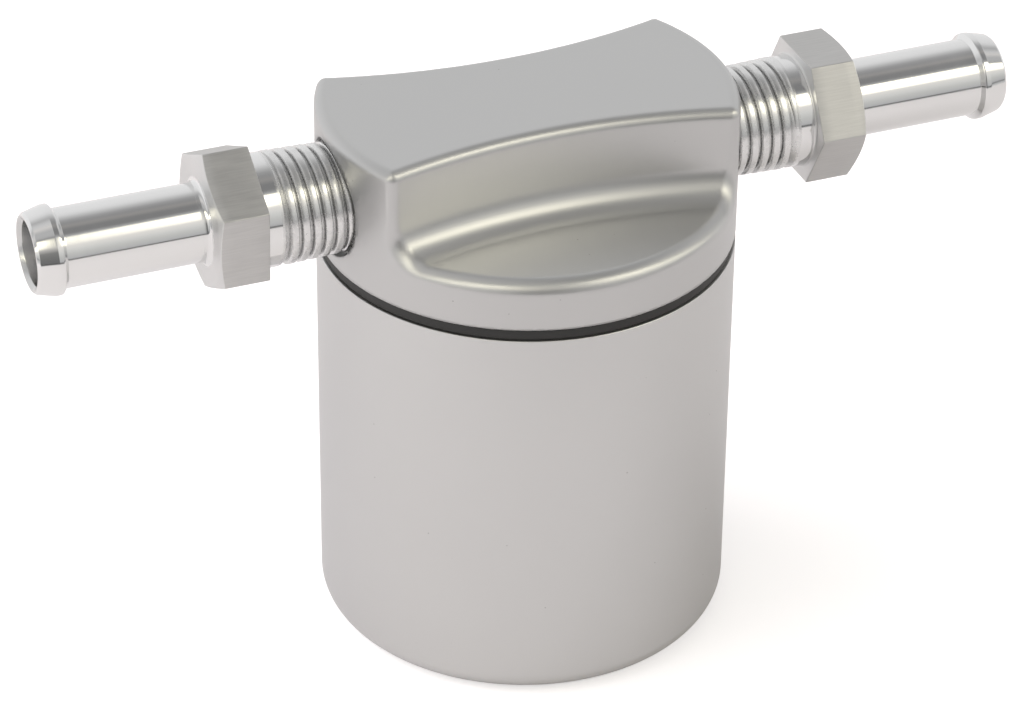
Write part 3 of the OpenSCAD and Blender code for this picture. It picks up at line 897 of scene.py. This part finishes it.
def markDepth(mesh):
    s = fittingSet
    points = np.zeros(len(mesh.vertices) * 3)
    mesh.vertices.foreach_get("co", points)
    x, y, z = points.reshape(-1, 3).T / mm
    at = np.abs(x) - s["start"]
    depth = (pipeRadius(at) - np.hypot(y, z - s["high"])) / s["threadDepth"]
    layer = mesh.attributes.new("depth", "FLOAT", "POINT")
    layer.data.foreach_set("value", np.clip(depth, 0, 1).astype(np.float32))


def makeFitting(name, side, corner, node):
    s = fittingSet
    angles = np.linspace(0, 2 * math.pi, s["segments"], endpoint=False)
    extra = [math.radians(corner + 60 * k + d) for k in range(6) for d in s["cornerSpread"]]
    angles = np.unique(np.round(np.concatenate([angles, np.array(extra) % (2 * math.pi)]), 5))
    rows = fittingRows(angles, corner)
    count, many = len(rows), len(angles)
    along = np.array([r[0] for r in rows])
    radius = np.array([r[1] for r in rows])
    points = np.stack([side * (s["start"] + along), radius * np.cos(angles),
                       s["high"] + radius * np.sin(angles)], -1)
    i, j = np.meshgrid(np.arange(count), np.arange(many), indexing="ij")
    nextI, nextJ = (i + 1) % count, (j + 1) % many
    faces = np.stack([i * many + j, nextI * many + j, nextI * many + nextJ, i * many + nextJ], -1)
    slots = np.repeat([row[2] for row in rows], many)
    mesh = meshFrom(name, points.reshape(-1, 3) * mm, faces.reshape(-1, 4),
                    [turned, hexFlat, threadCut, roughTurned, boreWall], slots)
    faceOut(mesh)
    mesh.set_sharp_from_angle(angle=math.radians(32))
    markDepth(mesh)
    return pieceFrom(name, mesh, "lid", "bright_fitting", node)


def makePipeThread(name, side, crest):
    s = fittingSet
    first, sunk = s["ridgeFrom"], s["ridgeSunk"]
    turns = (s["threadEnd"] + s["ridgeOver"] - first) / s["pitch"]
    low, high = (pipeRadius(first + turn * s["pitch"]) - s["threadDepth"] - sunk for turn in (0, turns))
    mesh = threadRidge(name, s, low, high, s["threadDepth"] + sunk, turns, s["fades"], threadCut)
    phase = -math.pi / 2 - 2 * math.pi * (crest - first) / s["pitch"]
    place = Matrix.Translation((side * (s["start"] + first) * mm, 0, s["high"] * mm))
    mesh.transform(place @ Matrix.Rotation(side * math.pi / 2, 4, "Y") @ Matrix.Rotation(phase, 4, "Z"))
    smoothBut(mesh, 30)
    markDepth(mesh)
    return pieceFrom(name, mesh, "lid", "bright_fitting")


makeFitting("inletFitting", -1, fittingSet["inletCorner"], "inlet_fitting")
makeFitting("outletFitting", 1, fittingSet["outletCorner"], "outlet_fitting")
makePipeThread("inletThread", -1, fittingSet["inletCrest"])
makePipeThread("outletThread", 1, fittingSet["outletCrest"])
print("fittings done")

# Inner pieces that keep their own shape
innerFinish = {
    "inlet_tube": stainless, "tube_seal": rubber, "stack_stud": stainless, "upper_spacer": bareAluminium,
    "upper_screen": stainless, "fine_mesh": fineWire, "coarse_mesh": coarseWire, "lower_screen": stainless,
    "lower_spacer": bareAluminium, "splash_plate": stainless, "stud_washer": stainless, "lock_nut": stainless,
}
for node, material in innerFinish.items():
    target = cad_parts[node]
    target.data.materials.clear()
    target.data.materials.append(material)
print("inner pieces done")

# Studio
studioSet = {
    "floorRadius": 0.42,
    "floorTone": (0.69, 0.665, 0.678, 1),
    "floorGlow": 0.045,       # what metal sees of the floor's own light
    "cameraGlow": 0.45,      # and what the camera sees on top of it, for a white page
    "levelLeft": 1.08, "levelRight": 0.92, "ceilingLift": 1.1,
    "boxStrength": 2.15,
    "boxColour": (1.05, 1.0, 0.78, 1),
    "keyPlace": (-1.0, 0.32, 0.85), "keySize": 1.6, "keyPower": 19.5,
}
# light of the room, by angle round X in degrees (0 straight ahead to -Y, 90 overhead):
# brightness, redness, blueness
roomLight = [
    (-90, 0.78, 1.02, 1.02), (-12, 0.6, 1, 1), (-8.6, 0.5, 1, 1), (-8.0, 0.1, 1, 1), (-5.6, 0.1, 1, 1),
    (-5.0, 0.5, 1, 1), (0, 0.55, 1, 1), (9, 0.61, 1, 0.97), (19, 0.73, 1, 0.97), (33, 0.86, 1.03, 0.95),
    (58, 0.5, 1, 1), (68, 0.24, 1, 1), (80, 0.24, 1, 1), (90, 0.33, 1.03, 0.97), (100, 0.31, 1, 1),
    (109, 0.38, 1, 1), (119, 0.56, 1, 1), (130, 0.76, 1, 1), (139, 0.83, 1, 1), (150, 0.86, 1, 1),
    (180, 0.9, 1, 1), (199, 0.98, 1, 1)]
# shares by the same angle (Band) and by direction along X (Width)
boxBand = [(33, 0), (38, 0.45), (46, 0.9), (50, 1.15), (56, 1.15), (60, 0)]
boxWidth = [(-0.34, 0.8), (-0.22, 0.03), (0.19, 0.03), (0.3, 1), (0.58, 1), (0.75, 0.7)]
# what a camera and its stand take from the room
cameraBand = [(-8, 0), (-4, 1), (22, 1), (34, 0.5), (58, 0.5), (66, 0)]
cameraWidth = [(-0.5, 0), (-0.4, 0.7), (0.04, 0.7), (0.16, 0)]
# the ceiling is lighter to the sides
ceilingBand = [(62, 0), (69, 1), (100, 1), (114, 0)]
ceilingWidth = [(-0.05, 1), (0.12, 0), (0.42, 0), (0.56, 1)]


def makeFloor():
    s = studioSet
    ring = [(s["floorRadius"] * math.cos(a), s["floorRadius"] * math.sin(a), 0)
            for a in np.linspace(0, 2 * math.pi, 160, endpoint=False)]
    mesh = bpy.data.meshes.new("floor")
    mesh.from_pydata(ring, [], [tuple(range(len(ring)))])
    floor = bpy.data.objects.new("floor", mesh)
    bpy.context.scene.collection.objects.link(floor)
    material = bpy.data.materials.new("floorPaper")
    material.use_nodes = True
    tree = material.node_tree
    tree.nodes.clear()
    output = tree.nodes.new("ShaderNodeOutputMaterial")
    paper = tree.nodes.new("ShaderNodeBsdfDiffuse")
    paper.inputs["Color"].default_value = s["floorTone"]
    glow = tree.nodes.new("ShaderNodeEmission")
    path = tree.nodes.new("ShaderNodeLightPath")
    seen = combine(tree, "MAXIMUM", path.outputs["Is Camera Ray"], path.outputs["Is Glossy Ray"])
    seen = combine(tree, "MAXIMUM", seen, path.outputs["Is Transmission Ray"])
    both = combine(tree, "ADD", combine(tree, "MULTIPLY", seen, s["floorGlow"]),
                   combine(tree, "MULTIPLY", path.outputs["Is Camera Ray"], s["cameraGlow"]))
    tree.links.new(both, glow.inputs["Strength"])
    whole = tree.nodes.new("ShaderNodeAddShader")
    tree.links.new(paper.outputs[0], whole.inputs[0])
    tree.links.new(glow.outputs[0], whole.inputs[1])
    tree.links.new(whole.outputs[0], output.inputs["Surface"])
    mesh.materials.append(material)


def rampOf(tree, value, spots, low, high, ease="LINEAR"):
    share = mapped(tree, value, 0, 1, low, high)
    ramp = tree.nodes.new("ShaderNodeValToRGB")
    ramp.color_ramp.interpolation = ease
    elements = ramp.color_ramp.elements
    while len(elements) < len(spots):
        elements.new(0.5)
    for element, (place, colour) in zip(elements, spots):
        element.position = (place - low) / (high - low)
        element.color = colour
    tree.links.new(share, ramp.inputs["Fac"])
    return ramp.outputs["Color"]


def makeWorld():
    s = studioSet
    world = bpy.data.worlds.new("studio")
    bpy.context.scene.world = world
    world.use_nodes = True
    tree = world.node_tree
    tree.nodes.clear()
    output = tree.nodes.new("ShaderNodeOutputWorld")
    coordinates = tree.nodes.new("ShaderNodeTexCoord")
    split = tree.nodes.new("ShaderNodeSeparateXYZ")
    tree.links.new(coordinates.outputs["Generated"], split.inputs[0])
    toFront = combine(tree, "MULTIPLY", split.outputs["Y"], -1)
    angle = combine(tree, "ARCTAN2", split.outputs["Z"], toFront)
    degrees = combine(tree, "MULTIPLY", angle, 180 / math.pi)
    behind = combine(tree, "LESS_THAN", degrees, -90)
    degrees = combine(tree, "ADD", degrees, combine(tree, "MULTIPLY", behind, 360))
    across = split.outputs["X"]

    def share(band, width, ease="LINEAR"):
        high = rampOf(tree, degrees, [(a, grey(v)) for a, v in band], -90, 270)
        wide = rampOf(tree, across, [(x, grey(v)) for x, v in width], -1, 1, ease)
        return combine(tree, "MULTIPLY", high, wide)

    room = rampOf(tree, degrees, [(a, (v * r, v, v * b, 1)) for a, v, r, b in roomLight], -90, 270)
    box = combine(tree, "MULTIPLY", share(boxBand, boxWidth, "EASE"), s["boxStrength"])
    level = mapped(tree, across, s["levelLeft"], s["levelRight"], -1, 1)
    level = combine(tree, "SUBTRACT", level, share(cameraBand, cameraWidth))
    lifted = combine(tree, "MULTIPLY", share(ceilingBand, ceilingWidth), s["ceilingLift"])
    level = combine(tree, "ADD", level, lifted)
    path = tree.nodes.new("ShaderNodeLightPath")
    parts = []
    for colour, strength in ((room, level), (s["boxColour"], box)):
        part = tree.nodes.new("ShaderNodeBackground")
        if isinstance(colour, tuple):
            part.inputs["Color"].default_value = colour
        else:
            tree.links.new(colour, part.inputs["Color"])
        tree.links.new(strength, part.inputs["Strength"])
        parts.append(part)
    both = tree.nodes.new("ShaderNodeAddShader")
    page = tree.nodes.new("ShaderNodeBackground")      # the camera sees a white page
    page.inputs["Color"].default_value = grey(1)
    choice = tree.nodes.new("ShaderNodeMixShader")
    for number, part in enumerate(parts):
        tree.links.new(part.outputs[0], both.inputs[number])
    tree.links.new(path.outputs["Is Camera Ray"], choice.inputs[0])
    tree.links.new(both.outputs[0], choice.inputs[1])
    tree.links.new(page.outputs[0], choice.inputs[2])
    tree.links.new(choice.outputs[0], output.inputs["Surface"])


def makeLamp(name, place, target, size, power):
    data = bpy.data.lights.new(name, "AREA")
    data.shape = "SQUARE"
    data.size = size
    data.energy = power
    lamp = bpy.data.objects.new(name, data)
    bpy.context.scene.collection.objects.link(lamp)
    lamp.location = place
    lamp.rotation_mode = "QUATERNION"
    lamp.rotation_quaternion = (Vector(target) - Vector(place)).to_track_quat("-Z", "Y")
    lamp.visible_glossy = False     # it lights the floor, and metal mirrors the room alone


makeFloor()
makeWorld()
makeLamp("keyLamp", studioSet["keyPlace"], (0, 0, 0.03), studioSet["keySize"], studioSet["keyPower"])
bpy.context.scene.view_settings.view_transform = "Standard"
print("studio done")
